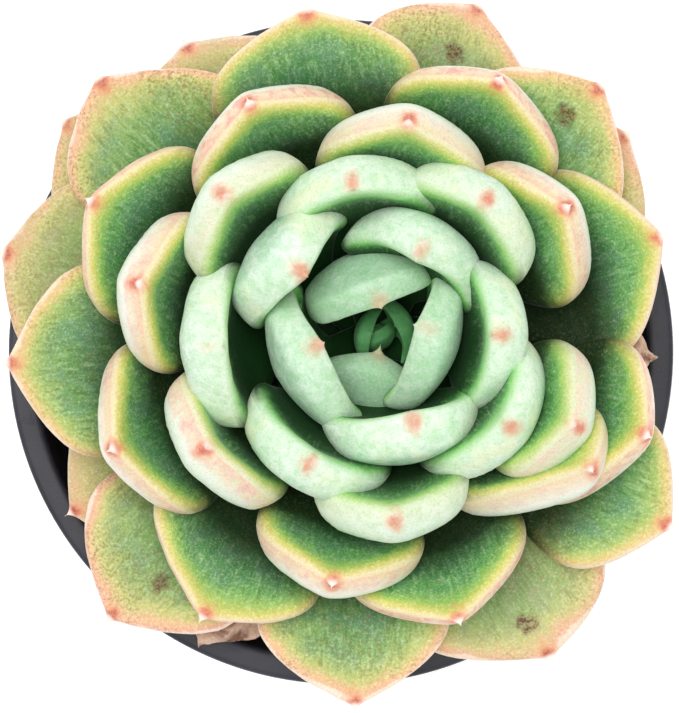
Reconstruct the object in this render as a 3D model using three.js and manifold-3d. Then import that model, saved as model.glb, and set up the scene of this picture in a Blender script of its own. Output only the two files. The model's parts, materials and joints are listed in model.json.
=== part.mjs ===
// A potted echeveria: a round nursery pot filled with potting mix, and one short stem that carries
// 49 thick leaves on a spiral, with the youngest leaves folded into a bud on its tip.
// Millimetres, +Z up. The origin is the centre of the pot's underside.

import * as THREE from "three";
import { mergeVertices } from "three/addons/utils/BufferGeometryUtils.js";
import Module from "manifold-3d";

const wasm = await Module();
wasm.setup();

// Pot: a thin moulded tub whose rim turns over into a skirt
const POT_HEIGHT = 86;
const RIM_RADIUS = 51;
const RIM_BAND = 3.9;
const RIM_SKIRT = 9;
const BASE_RADIUS = 37;
const WALL = 1.3;
const FLOOR = 1.6;
const EDGE = 0.8;
const POT_SIDES = 40;
const DRAIN_HOLES = 6;
const DRAIN_RADIUS = 4;
const DRAIN_CIRCLE = 24;

// Potting mix, level with the leaves' feet at the stem and settled a little at the wall
const MIX_LEVEL = 78;
const MIX_SETTLED = 1.5;

// Gaps: between pieces that touch, and a little more where a young leaf has pressed into an older one
const CLEARANCE = 0.3;
const PRESSING_GAP = 0.45;

// Stem: where it stands in the mix and where its tip has grown to, in plan
const STEM_FOOT = [1.2, 0];
const STEM_TIP = [5.4, 2.5];
const BEND_AGES = [18, 34];
const STEM_DEPTH = 16;
const STEM_SIDES = 12;
const STEM_RINGS = 9;

// Rosette. A leaf's age is its number: 0 is the youngest that stands open, 48 the oldest, and the
// bud's leaves are -1 to -4. Heights are above the mix, and bearings in degrees from +X.
const LEAVES = 49;
const BUD_LEAVES = 4;
const FIRST_BEARING = 251;
const DIVERGENCE = 137;
const YOUNGEST_NODE = 15;
const OLDEST_NODE = 2;
const BUD_RADIUS = 1.6;
const BUD_HEIGHT = 2.4;

// Laws of growth: pairs of [age, value], joined by straight lines
const STEM_RADIUS = [[0, 0.9], [10, 2.9], [48, 5.2]];
const REACH = [[-4, 0], [-3, -0.6], [-2, 0.8], [-1, 3], [0, 2.6], [1, 3.8], [2, 4.6], [3, 7.8], [4, 11.2],
  [5, 10.6], [6, 12.6], [8, 17.5], [10, 21], [12, 23.4], [14, 27.4], [16, 29.2], [18, 31.4], [20, 34],
  [24, 40.8], [28, 47], [32, 50.5], [36, 54.3], [40, 55.3], [48, 55.5]];
const TIP_HEIGHT = [[-4, 18.5], [-3, 20.5], [-1, 22.5], [0, 23], [1, 30], [2, 31], [3, 32], [4, 34], [9, 37],
  [14, 37], [20, 34], [26, 30], [32, 25], [38, 20], [48, 13]];
const TIP_SLOPE = [[-4, 95], [-3, 120], [-1, 125], [0, 150], [1, 130], [2, 141], [3, 136], [6, 118],
  [8, 104], [12, 94], [16, 86], [20, 76], [24, 66], [28, 48], [32, 34], [38, 22], [48, 10]];
const BASE_SLOPE = [[-4, 70], [-1, 40], [4, 38], [9, 24], [14, 20], [20, 18], [32, 17], [48, 12]];
const BASE_PULL = [[-1, 0.6], [0, 0.55], [4, 0.5]];
const TIP_PULL = [[0, 0.5], [2, 0.55], [6, 0.45], [48, 0.42]];
const WIDTH = [[-4, 3.5], [-3, 7], [-2, 10], [-1, 13], [0, 16.5], [1, 20.5], [2, 22.5], [3, 24], [4, 23.5],
  [10, 25.5], [20, 26.5], [28, 29.5]];
const THICKNESS = [[-4, 1.2], [-1, 2], [0, 3], [2, 4.6], [4, 6], [12, 6.4], [20, 6.2], [28, 4.8],
  [34, 3.8], [48, 3.2]];
const CUP_RADIUS = [[-4, 2.5], [-3, 3.5], [-2, 5], [-1, 6.5], [0, 24], [1, 14], [2, 17], [4, 17], [6, 20],
  [10, 23], [20, 28], [30, 40], [48, 60]];
const KEEL = [[-4, 0], [0, 1], [3, 1.5], [8, 1], [14, 4], [26, 5], [36, 2.5], [48, 1]];

// Leaves that stand off the laws: turned by degrees; longer, swung aside, with one margin further out
// than the other, wider or bowed outwards by millimetres; or with a fuller end
const TURN = {
  0: 5, 1: -4, 2: 3, 3: 6, 5: -5, 6: -8, 7: -12, 8: 3, 9: 2, 10: 4, 12: 4, 13: 5, 14: 5, 15: -21,
  16: -2, 18: 2, 20: 3, 21: 6, 22: 1, 23: -6, 25: -3, 28: 5, 29: -2, 30: -3, 31: 6, 32: -5,
  33: -5, 34: -2, 35: -3.5, 37: 6, 38: -15.5, 39: -4.6, 40: -7, 41: 4, 42: -14, 43: -2, 45: 4,
  48: -14,
};
const LONGER = {
  0: -0.2, 4: 0.7, 5: 1.2, 6: 0.7, 7: 1.2, 8: 2, 9: 1.7, 10: 0.8, 14: 1.6, 15: 2, 16: -0.5, 18: 2,
  19: 2, 20: -1.5, 22: 0.5, 23: 2.5, 24: -0.8, 26: -1.5, 27: -0.9, 29: -2.8, 30: 1.4, 31: 3.8,
  33: 2.6, 34: -0.2, 35: 1.6, 36: -9.5, 37: -1.3, 38: 0.3, 39: -0.6, 40: -1.5, 41: -2.5, 42: -6.5,
  43: -3, 44: -9, 45: -7, 46: -5, 47: -9,
};
const SWAY = {
  0: 0.8, 1: -1.8, 2: 3.2, 3: -2.5, 5: 2.6, 8: 1.3, 16: -2, 18: 13, 23: 5, 29: 3.5, 31: 1,
  33: 1.5,
};
const SKEW = { 3: 1, 18: 2, 35: 2.5, 38: 3, 39: 3 };
const WIDER = {
  5: 1, 6: -1.5, 7: -1, 12: -2, 13: -2, 14: -2.5, 15: -4, 16: -2, 18: -1, 19: -1.5, 20: -2,
  21: -1, 28: 1, 30: 3, 31: -4, 38: 1.5, 39: 2.5,
};
const BOWED = {
  0: 5.5, 1: 3.2, 3: 1.5, 5: 1.2, 6: 4, 7: -0.8, 8: 0.8, 10: -1, 11: 3.2, 13: 0.5, 15: -1.5,
  16: 3, 19: 2.3, 21: 1.5, 22: 1.2, 24: 3, 25: 2.5, 26: 1.2, 27: 1.5, 29: 1.2,
};
const BLUNTER = {
  0: 1.2, 1: 3.5, 2: 0.6, 3: 1.5, 5: 1, 18: -0.6, 22: 0.3, 25: 0.5, 27: 0.4, 30: 1.2, 38: 0.2, 39: 0.8,
  40: 1, 41: 1, 43: 1.5,
};
const WITHERED = [36, 42];
const WITHERED_SHARE = 0.6;

// Shape of one blade: shares of its length, its half-width or its thickness, the end spine, and how
// finely it is drawn. Slivers finer than FINEST, which cutting leaves, are smoothed away.
const BASE_SHARE = 0.24;
const NECK_END = 0.22;
const END_LENGTH = 0.95;
const END_FULLNESS = 2.2;
const BASE_PLUMPNESS = 0.22;
const HEEL = 0.15;
const HEEL_PLUMPNESS = 0.4;
const FULL = 0.6;
const TIP_PLUMPNESS = 0.9;
const LOWER_SHARE = 0.88;
const LOWER_ROUNDING = 0.27;
const LOWER_SQUARENESS = 1.45;
const UPPER_ROUNDING = 2.4;
const UPPER_SQUARENESS = 2;
const FOLD_ROUNDING = 0.15;
const SPINE = 1.4;
const SPINE_START = 0.985;
const STATIONS = 9;
const BUD_STATIONS = 5;
const CLOSING_UP = 1.5;
const ACROSS = 4;
const FINEST = 0.06;

const DEGREE = Math.PI / 180;
const clamp = (x) => Math.min(Math.max(x, 0), 1);
const smooth = (x) => x * x * (3 - 2 * x);
const mix = (a, b, t) => a + (b - a) * t;

// Value of a law at an age, held level past its ends
function law(pairs, age) {
  const next = pairs.findIndex(([a]) => a >= age);
  if (next === 0) return pairs[0][1];
  if (next < 0) return pairs.at(-1)[1];
  const [a0, v0] = pairs[next - 1];
  const [a1, v1] = pairs[next];
  return mix(v0, v1, (age - a0) / (a1 - a0));
}

// Height above the mix at which a leaf of this age leaves the stem
const nodeHeight = (age) => mix(YOUNGEST_NODE, OLDEST_NODE, age / (LEAVES - 1));

// Centre of the stem, in plan, where a leaf of this age leaves it
function stemCentre(age) {
  const bend = smooth(clamp((age - BEND_AGES[0]) / (BEND_AGES[1] - BEND_AGES[0])));
  return [mix(STEM_TIP[0], STEM_FOOT[0], bend), mix(STEM_TIP[1], STEM_FOOT[1], bend)];
}

// Closed surface through rings of points, drawn to a point at both ends
function loft(start, rings, finish) {
  const sides = rings[0].length;
  const points = [start, ...rings.flat(), finish];
  const at = (ring, side) => 1 + ring * sides + (side % sides);
  const last = rings.length - 1;
  const faces = [];
  for (let side = 0; side < sides; side++) {
    faces.push(0, at(0, side), at(0, side + 1));
    faces.push(points.length - 1, at(last, side + 1), at(last, side));
    for (let ring = 0; ring < last; ring++) {
      faces.push(at(ring, side), at(ring + 1, side), at(ring + 1, side + 1));
      faces.push(at(ring, side), at(ring + 1, side + 1), at(ring, side + 1));
    }
  }
  const geometry = new THREE.BufferGeometry();
  geometry.setAttribute("position", new THREE.Float32BufferAttribute(points.flat(), 3));
  geometry.setIndex(faces);
  return geometry;
}

// Solid for cutting and joining, and back
function solidOf(geometry) {
  const bare = new THREE.BufferGeometry();
  bare.setAttribute("position", geometry.getAttribute("position"));
  bare.setIndex(geometry.index);
  const merged = mergeVertices(bare, 1e-4);
  return new wasm.Manifold(
    new wasm.Mesh({
      numProp: 3,
      vertProperties: new Float32Array(merged.getAttribute("position").array),
      triVerts: new Uint32Array(merged.index.array),
    }),
  );
}

function geometryOf(solid) {
  const mesh = solid.getMesh();
  const geometry = new THREE.BufferGeometry();
  geometry.setAttribute("position", new THREE.BufferAttribute(mesh.vertProperties, mesh.numProp));
  geometry.setIndex(new THREE.BufferAttribute(mesh.triVerts, 1));
  return geometry;
}

// Half-width of a blade, as a share of its greatest, up to its widest place
const narrowPart = (along, widest) =>
  mix(BASE_SHARE, 1, smooth(clamp((along - NECK_END) / (widest - NECK_END))));

// Thickness of a blade, as a share of its greatest
function plumpness(along) {
  if (along < HEEL) return mix(BASE_PLUMPNESS, HEEL_PLUMPNESS, along / HEEL);
  if (along < FULL) return mix(HEEL_PLUMPNESS, 1, (along - HEEL) / (FULL - HEEL));
  return mix(1, TIP_PLUMPNESS, (along - FULL) / (1 - FULL));
}

// Height of a rounded edge: 0 at the edge, 1 past its radius. A squareness of 1 is a flat bevel, 2 a round.
const rounded = (x, squareness) => (1 - (1 - clamp(x)) ** squareness) ** (1 / squareness);

// Lift of a folded blade over a plain cup, at a share of its half-width. Its two halves stand straighter.
function folded(share) {
  const bend = (x) => Math.hypot(x, FOLD_ROUNDING) - FOLD_ROUNDING;
  return bend(share) / bend(1) - share * share;
}

// Midrib of a leaf in its own upright plane: out from the stem, and up from the mix
function midribOf(age) {
  const foot = new THREE.Vector2(law(STEM_RADIUS, age) + CLEARANCE, nodeHeight(age));
  const tip = new THREE.Vector2(law(REACH, age) + (LONGER[age] ?? 0), law(TIP_HEIGHT, age));
  const span = foot.distanceTo(tip);
  const away = (slope, pull) =>
    new THREE.Vector2(Math.cos(slope * DEGREE), Math.sin(slope * DEGREE)).multiplyScalar(pull * span);
  const bow = new THREE.Vector2(BOWED[age] ?? 0, 0).multiplyScalar(4 / 3);
  const fromFoot = away(law(BASE_SLOPE, age), law(BASE_PULL, age)).add(bow);
  const toTip = away(law(TIP_SLOPE, age), law(TIP_PULL, age)).sub(bow);
  return new THREE.CubicBezierCurve(foot, foot.clone().add(fromFoot), tip.clone().sub(toTip), tip);
}

// One leaf: flat or cupped above, plump below, rounded to an end spine. A margin grows it all round.
function leafGeometry(age, margin = 0, stations = STATIONS) {
  const [cx, cy] = stemCentre(age);
  const bearing = (FIRST_BEARING - DIVERGENCE * age + (TURN[age] ?? 0)) * DEGREE;
  const shrunk = WITHERED.includes(age) ? WITHERED_SHARE : 1;
  const halfWidth = ((law(WIDTH, age) + (WIDER[age] ?? 0)) / 2) * shrunk;
  const thickness = law(THICKNESS, age) * shrunk;
  const cup = law(CUP_RADIUS, age);
  const keel = law(KEEL, age);
  const midrib = midribOf(age);
  const length = midrib.getLength();
  const widest = Math.max(0.55, 1 - (END_LENGTH * halfWidth) / length);
  const fullness = END_FULLNESS + (BLUNTER[age] ?? 0);

  // Point of the leaf: along its midrib, aside of it, and above its middle surface
  const place = (along, aside, above) => {
    const way = midrib.getTangentAt(along);
    const skew = ((SKEW[age] ?? 0) * along * along * aside) / halfWidth;
    const at = midrib.getPointAt(along).addScaledVector(way, skew);
    const turn = aside / cup;
    const fold = keel * along * along * folded(aside / halfWidth);
    const lift = cup * (1 - Math.cos(turn)) + fold + above;
    const out = at.x - way.y * lift;
    const across = cup * Math.sin(turn) + (SWAY[age] ?? 0) * along * along;
    return [
      cx + out * Math.cos(bearing) - across * Math.sin(bearing),
      cy + out * Math.sin(bearing) + across * Math.cos(bearing),
      MIX_LEVEL + at.y + way.x * lift,
    ];
  };

  const rings = [];
  for (let station = 0; station < stations; station++) {
    const along = SPINE_START * (1 - (1 - station / (stations - 1)) ** CLOSING_UP);
    const past = Math.max(along - widest, 0) / (1 - widest);
    const half = halfWidth * (past > 0 ? 1 - past ** fullness : narrowPart(along, widest)) + margin;
    const narrowing = (fullness * past ** (fullness - 1) * halfWidth) / (length * (1 - widest));
    const plump = thickness * plumpness(along);
    const ring = [];
    for (let step = 0; step < 2 * ACROSS; step++) {
      const side = Math.cos((Math.PI * step) / ACROSS);
      const inset = ((1 - side * side) / 2) * (half / Math.hypot(1, narrowing));
      const grown = step % ACROSS === 0 ? 0 : margin;
      const bevel = rounded(inset / (LOWER_ROUNDING * halfWidth), LOWER_SQUARENESS);
      const crest = rounded(inset / UPPER_ROUNDING, UPPER_SQUARENESS);
      const lower = -LOWER_SHARE * plump * bevel - grown;
      const upper = (1 - LOWER_SHARE) * plump * crest + grown;
      ring.push(place(along, side * half, step < ACROSS ? lower : upper));
    }
    rings.push(ring);
  }
  const spineEnd = new THREE.Vector3(...place(1, 0, 0));
  const spineFoot = new THREE.Vector3(...place(SPINE_START - 0.01, 0, 0));
  const spine = spineEnd.clone().sub(spineFoot).setLength(SPINE + margin).add(spineEnd);
  return loft(place(0, 0, -plumpness(0) * thickness * 0.4), rings, spine.toArray());
}

// The bent stem, round at each height. A margin grows it all round.
function stemGeometry(margin = 0) {
  const ring = (cx, cy, z, radius) =>
    Array.from({ length: STEM_SIDES }, (_, side) => {
      const turn = (-2 * Math.PI * side) / STEM_SIDES;
      return [cx + radius * Math.cos(turn), cy + radius * Math.sin(turn), MIX_LEVEL + z];
    });
  const oldest = LEAVES - 1;
  const rootRadius = law(STEM_RADIUS, oldest);
  const rings = [ring(...STEM_FOOT, -STEM_DEPTH - margin, rootRadius * 0.8 + margin)];
  for (let step = 0; step < STEM_RINGS; step++) {
    const age = mix(oldest, 0, step / (STEM_RINGS - 1));
    rings.push(ring(...stemCentre(age), nodeHeight(age), law(STEM_RADIUS, age) + margin));
  }
  const top = MIX_LEVEL + YOUNGEST_NODE + margin;
  return loft([...STEM_FOOT, MIX_LEVEL - STEM_DEPTH - margin], rings, [...STEM_TIP, top]);
}

// The growing point: a low dome that the bud's leaves stand in. A margin grows it all round.
function budGeometries(margin = 0) {
  const dome = new THREE.LatheGeometry(
    [
      new THREE.Vector2(0, -margin),
      new THREE.Vector2(BUD_RADIUS + margin, -margin),
      new THREE.Vector2(BUD_RADIUS * 0.8 + margin, BUD_HEIGHT * 0.6),
      new THREE.Vector2(0, BUD_HEIGHT + margin),
    ],
    STEM_SIDES,
  );
  dome.rotateX(Math.PI / 2);
  dome.translate(...STEM_TIP, MIX_LEVEL + YOUNGEST_NODE + CLEARANCE);
  const leaves = Array.from({ length: BUD_LEAVES }, (_, i) => leafGeometry(-1 - i, margin, BUD_STATIONS));
  return [dome, ...leaves];
}

const budSolid = (margin) =>
  budGeometries(margin)
    .map(solidOf)
    .reduce((joined, piece) => joined.add(piece));

// Every leaf gives way to the younger leaves, the bud and the stem that press on it
function leafSolids() {
  const pressing = [solidOf(stemGeometry(CLEARANCE)), budSolid(PRESSING_GAP)];
  const leaves = [];
  for (let age = 0; age < LEAVES; age++) {
    const pressed = pressing.reduce((leaf, piece) => leaf.subtract(piece), solidOf(leafGeometry(age)));
    const pieces = pressed.simplify(FINEST).decompose().sort((a, b) => b.volume() - a.volume());
    leaves.push(pieces[0]);
    pressing.push(solidOf(leafGeometry(age, PRESSING_GAP)));
  }
  return leaves;
}

// Round piece about the pot's axis, from its half section
function turned(profile) {
  const geometry = new THREE.LatheGeometry(
    profile.map(([r, z]) => new THREE.Vector2(r, z)),
    POT_SIDES,
  );
  return geometry.rotateX(Math.PI / 2);
}

// Inner radius of the pot's wall at a height
const wallTop = RIM_RADIUS - RIM_BAND;
const wallFoot = BASE_RADIUS - WALL;
const innerRadius = (z) => mix(wallFoot, wallTop, z / POT_HEIGHT);

function potSolid() {
  const skirtFoot = POT_HEIGHT - RIM_SKIRT;
  const profile = [
    [0, 0],
    [BASE_RADIUS - 2 * EDGE, 0],
    [BASE_RADIUS, 2 * EDGE],
    [innerRadius(skirtFoot) + WALL, skirtFoot],
    [innerRadius(POT_HEIGHT - WALL) + WALL, POT_HEIGHT - WALL],
    [RIM_RADIUS - WALL, POT_HEIGHT - WALL],
    [RIM_RADIUS - WALL, skirtFoot],
    [RIM_RADIUS, skirtFoot],
    [RIM_RADIUS, POT_HEIGHT - EDGE],
    [RIM_RADIUS - EDGE, POT_HEIGHT],
    [wallTop + EDGE, POT_HEIGHT],
    [innerRadius(POT_HEIGHT - EDGE), POT_HEIGHT - EDGE],
    [innerRadius(FLOOR + EDGE), FLOOR + EDGE],
    [innerRadius(FLOOR) - EDGE, FLOOR],
    [0, FLOOR],
  ];
  let pot = solidOf(turned(profile));
  for (let hole = 0; hole < DRAIN_HOLES; hole++) {
    const drill = new THREE.CylinderGeometry(DRAIN_RADIUS, DRAIN_RADIUS, 3 * FLOOR, 12);
    drill.rotateX(Math.PI / 2);
    const turn = (2 * Math.PI * hole) / DRAIN_HOLES;
    drill.translate(DRAIN_CIRCLE * Math.cos(turn), DRAIN_CIRCLE * Math.sin(turn), FLOOR / 2);
    pot = pot.subtract(solidOf(drill));
  }
  return pot;
}

function mixSolid() {
  const foot = FLOOR + CLEARANCE;
  const edge = MIX_LEVEL - MIX_SETTLED;
  const profile = [
    [0, foot],
    [innerRadius(FLOOR) - EDGE - CLEARANCE, foot],
    [innerRadius(foot + 2 * EDGE) - CLEARANCE, foot + 2 * EDGE],
    [innerRadius(edge) - CLEARANCE, edge],
    [RIM_RADIUS / 2, MIX_LEVEL],
    [0, MIX_LEVEL],
  ];
  return solidOf(turned(profile)).subtract(solidOf(stemGeometry(CLEARANCE)));
}

// Colours from the youngest leaf to the oldest
const MINT = new THREE.Color("#c6e4c8");
const GREEN = new THREE.Color("#7fae6b");
const STRAW = new THREE.Color("#b7b27a");
const WITHERED_BROWN = new THREE.Color("#a88a78");

function leafMaterial(age) {
  const grown = clamp(age / 24);
  const old = clamp((age - 24) / 24);
  const colour = WITHERED.includes(age) ? WITHERED_BROWN : MINT.clone().lerp(GREEN, grown).lerp(STRAW, old);
  return new THREE.MeshStandardMaterial({ color: colour, roughness: 0.55, metalness: 0 });
}

const potMaterial = new THREE.MeshStandardMaterial({ color: "#2c2e33", roughness: 0.45, metalness: 0 });
const mixMaterial = new THREE.MeshStandardMaterial({ color: "#2a2019", roughness: 0.95, metalness: 0 });
const stemMaterial = new THREE.MeshStandardMaterial({ color: "#8a8a5c", roughness: 0.8, metalness: 0 });
const budMaterial = new THREE.MeshStandardMaterial({ color: MINT, roughness: 0.55, metalness: 0 });

function piece(name, geometry, material) {
  const mesh = new THREE.Mesh(geometry, material);
  mesh.name = name;
  return mesh;
}

const plant = new THREE.Group();
plant.add(piece("stem", stemGeometry(), stemMaterial));
plant.add(piece("bud", geometryOf(budSolid(0)), budMaterial));
leafSolids().forEach((leaf, age) => {
  const name = "leaf_" + String(age).padStart(2, "0");
  plant.add(piece(name, geometryOf(leaf), leafMaterial(age)));
});

const pottedPlant = new THREE.Group();
pottedPlant.add(piece("pot", geometryOf(potSolid()), potMaterial));
pottedPlant.add(piece("potting_mix", geometryOf(mixSolid()), mixMaterial));
pottedPlant.add(plant);

export default pottedPlant;
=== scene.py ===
import json
import math
import random

import bmesh
import bpy
from mathutils import Matrix, Vector, noise


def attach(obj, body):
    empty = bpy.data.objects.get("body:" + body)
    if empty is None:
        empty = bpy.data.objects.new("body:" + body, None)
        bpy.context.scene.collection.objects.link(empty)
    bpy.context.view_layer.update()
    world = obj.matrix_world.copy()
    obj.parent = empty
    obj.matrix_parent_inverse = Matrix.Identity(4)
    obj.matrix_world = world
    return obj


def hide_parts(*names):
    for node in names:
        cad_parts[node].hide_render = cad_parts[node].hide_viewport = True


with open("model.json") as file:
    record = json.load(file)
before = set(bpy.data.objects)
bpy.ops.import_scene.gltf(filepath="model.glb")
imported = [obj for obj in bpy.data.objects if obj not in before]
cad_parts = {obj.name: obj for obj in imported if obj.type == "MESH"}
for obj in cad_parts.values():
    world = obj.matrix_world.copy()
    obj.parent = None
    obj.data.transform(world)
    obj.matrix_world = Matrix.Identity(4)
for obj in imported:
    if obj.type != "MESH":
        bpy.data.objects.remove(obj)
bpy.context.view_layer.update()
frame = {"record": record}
record = frame["record"]

# The view: a camera half a metre above the foot of the pot, which looks straight down its axis.
PHOTO_HEIGHT = 713
CAMERA_HEIGHT = 0.506
PIXELS_PER_METRE_AWAY = 2742.6
POT_OFF_CENTRE = (1.5, -4.5)

eye = bpy.data.cameras.new("camera")
eye.sensor_width = 36.0
eye.lens = PIXELS_PER_METRE_AWAY * eye.sensor_width / PHOTO_HEIGHT
eye.shift_x = -POT_OFF_CENTRE[0] / PHOTO_HEIGHT
eye.shift_y = POT_OFF_CENTRE[1] / PHOTO_HEIGHT
eye.clip_start = 0.02
camera = bpy.data.objects.new("camera", eye)
camera.location = (0, 0, CAMERA_HEIGHT)
bpy.context.scene.collection.objects.link(camera)
bpy.context.scene.camera = camera
bpy.context.scene.view_settings.view_transform = "Standard"


# The table: a broad board of white card under the pot, and not part of it. It glows a little, so that it
# comes out pure white, and two soft square lamps hang above it.
def rgb(red, green, blue):
    """A colour given as it shows on a screen, from 0 to 255, in the light values that shaders use."""
    linear = [((c / 255 + 0.055) / 1.055) ** 2.4 if c > 10 else c / 255 / 12.92 for c in (red, green, blue)]
    return (*linear, 1.0)


class Field:
    """One output of a node tree. Python's operators on it add Math nodes."""

    def __init__(self, tree, socket):
        self.tree = tree
        self.socket = socket

    def math(self, operation, *others):
        return self.tree.add("ShaderNodeMath", {"operation": operation}, dict(enumerate((self, *others))))

    def __add__(self, other):
        return self.math("ADD", other)

    __radd__ = __add__

    def __mul__(self, other):
        return self.math("MULTIPLY", other)

    __rmul__ = __mul__

    def __sub__(self, other):
        return self.math("SUBTRACT", other)

    def __rsub__(self, other):
        return (self * -1) + other

    def __truediv__(self, other):
        return self.math("DIVIDE", other)

    def __rtruediv__(self, other):
        return self.math("POWER", -1) * other

    def __pow__(self, other):
        return self.math("POWER", other)

    def __neg__(self):
        return self * -1

    def clamped(self):
        return self.math("MAXIMUM", 0).math("MINIMUM", 1)

    def smooth(self, start, end):
        """0 before start, 1 past end, and a smooth step between. A start above the end turns it round."""
        return self.tree.add(
            "ShaderNodeMapRange",
            {"interpolation_type": "SMOOTHSTEP"},
            {"Value": self, "From Min": start, "From Max": end},
        )

    def output(self, name):
        """Another output of the same node."""
        return Field(self.tree, self.tree.find(self.socket.node.outputs, name))


class Tree:
    """The nodes of one material or of one modifier."""

    def __init__(self, nodes):
        self.nodes = nodes

    def find(self, sockets, key):
        usable = [s for s in sockets if s.enabled and not s.is_unavailable]
        return usable[key] if isinstance(key, int) else next(s for s in usable if s.name == key)

    def fill(self, node, values):
        for key, value in values.items():
            socket = self.find(node.inputs, key)
            if isinstance(value, Field):
                self.nodes.links.new(value.socket, socket)
            else:
                socket.default_value = value

    def add(self, kind, settings=None, values=None, output=0):
        """One node: its type, its settings, which are set first, and the values or links of its sockets."""
        node = self.nodes.nodes.new(kind)
        for name, setting in (settings or {}).items():
            if name == "stops":
                ramp = node.color_ramp.elements
                while len(ramp) < len(setting):
                    ramp.new(1.0)
                for stop, (position, colour) in zip(ramp, setting):
                    stop.position = position
                    stop.color = colour
            else:
                setattr(node, name, setting)
        self.fill(node, values or {})
        return Field(self, self.find(node.outputs, output))

    def mix(self, factor, a, b):
        return self.add("ShaderNodeMix", {"data_type": "RGBA"}, {"Factor": factor, "A": a, "B": b}, "Result")

    def noise(self, place, scale, detail=2.0, distortion=0.0):
        values = {"Vector": place, "Scale": scale, "Detail": detail, "Distortion": distortion}
        return self.add("ShaderNodeTexNoise", {}, values)

    def place(self):
        """Where a point of the surface lies, in the coordinates of its object."""
        return self.add("ShaderNodeTexCoord", {}, {}, "Object")

    def axis(self, vector, name):
        """One coordinate of a vector."""
        return self.add("ShaderNodeSeparateXYZ", {}, {"Vector": vector}, name)

    def bump(self, height, strength, distance):
        """Relief that is finer than the mesh, in metres."""
        values = {"Height": height, "Strength": strength, "Distance": distance}
        return self.add("ShaderNodeBump", {}, values, "Normal")


def new_finish(name):
    """A material, its nodes and its shader."""
    material = bpy.data.materials.new(name)
    material.use_nodes = True
    return material, Tree(material.node_tree), material.node_tree.nodes["Principled BSDF"]


def add_object(name, mesh):
    thing = bpy.data.objects.new(name, mesh)
    bpy.context.scene.collection.objects.link(thing)
    return thing


BOARD_SIZE = 6.0
BOARD_GLOW = 0.35
DAYLIGHT = 0.62
LAMPS = {
    # name: where it hangs, its side in metres, its power in watts
    "overhead": ((-0.25, 0.35, 1.5), 1.2, 15.0),
    "fill": ((0.9, -0.7, 1.1), 1.0, 3.0),
}
white_board, nodes, shader = new_finish("white_board")
nodes.fill(shader, {
    "Base Color": rgb(245, 245, 245),
    "Roughness": 0.9,
    "Emission Color": rgb(255, 255, 255),
    "Emission Strength": BOARD_GLOW,
})
board = bpy.data.meshes.new("floor")
half = BOARD_SIZE / 2
corners = [(-half, -half, 0), (half, -half, 0), (half, half, 0), (-half, half, 0)]
board.from_pydata(corners, [], [(0, 1, 2, 3)])
board.materials.append(white_board)
add_object("floor", board)

sky = bpy.data.worlds.new("studio")
sky.use_nodes = True
bpy.context.scene.world = sky
Tree(sky.node_tree).fill(sky.node_tree.nodes["Background"], {"Color": (1, 1, 1, 1), "Strength": DAYLIGHT})
for name, (place, side, power) in LAMPS.items():
    lamp = bpy.data.lights.new(name, "AREA")
    lamp.size = side
    lamp.energy = power
    hung = bpy.data.objects.new(name, lamp)
    hung.location = place
    hung.rotation_euler = (-Vector(place)).to_track_quat("-Z", "Y").to_euler()
    bpy.context.scene.collection.objects.link(hung)

# The pot: a thin nursery pot, moulded in black plastic in one shot. Its rim turns over into a skirt, the
# wall tapers to a flat foot, and water leaves by six holes in the floor.
MM = 0.001
POT_HEIGHT = 86.0
RIM_RADIUS = 51.0
RIM_BAND = 3.9
RIM_SKIRT = 9.0
BASE_RADIUS = 37.0
WALL = 1.3
FLOOR = 1.6
EDGE = 0.8
# The underside is raised inside its standing ring, and the wall steps in above its foot and below its rim
RAISED = 0.8
RAISED_RADIUS = 30.0
FOOT_BAND = 12.0
FOOT_STEP = 0.25
COLLAR = 6.0
COLLAR_STEP = 0.1
LEDGE = 7.0
LEDGE_STEP = 0.3
POT_SIDES = 192
DRAIN_HOLES = 6
DRAIN_RADIUS = 4.0
DRAIN_CIRCLE = 24.0
DRAIN_SIDES = 40


def inner_radius(z):
    """Inner radius of the pot's wall at a height."""
    foot, top = BASE_RADIUS - WALL, RIM_RADIUS - RIM_BAND
    return foot + (top - foot) * z / POT_HEIGHT


def softened(profile, radius, steps=4):
    """The profile with its marked corners rounded. A corner is (r, z, share of the radius)."""
    points = []
    for i, (r, z, share) in enumerate(profile):
        if share == 0:
            points.append((r, z))
            continue
        here = Vector((r, z))
        before = Vector(profile[i - 1][:2]) - here
        after = Vector(profile[(i + 1) % len(profile)][:2]) - here
        reach = min(share * radius, before.length / 2, after.length / 2)
        start, end = here + before.normalized() * reach, here + after.normalized() * reach
        for step in range(steps + 1):
            t = step / steps
            points.append(tuple((1 - t) ** 2 * start + 2 * t * (1 - t) * here + t * t * end))
    return points


def turned(name, points, sides):
    """A mesh turned about the pot's axis from its half section, in millimetres, and closed on the axis."""
    mesh = bmesh.new()
    loops = []
    for r, z in points:
        count = 1 if r < 1e-6 else sides
        loops.append([
            mesh.verts.new((
                r * math.cos(2 * math.pi * i / sides) * MM,
                r * math.sin(2 * math.pi * i / sides) * MM,
                z * MM,
            ))
            for i in range(count)
        ])
    for low, high in zip(loops, loops[1:]):
        for i in range(sides):
            j = (i + 1) % sides
            corners = [low[i % len(low)], low[j % len(low)], high[j % len(high)], high[i % len(high)]]
            mesh.faces.new(list(dict.fromkeys(corners)))
    bmesh.ops.recalc_face_normals(mesh, faces=mesh.faces)
    for face in mesh.faces:
        face.smooth = True
    data = bpy.data.meshes.new(name)
    mesh.to_mesh(data)
    mesh.free()
    return data


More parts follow.
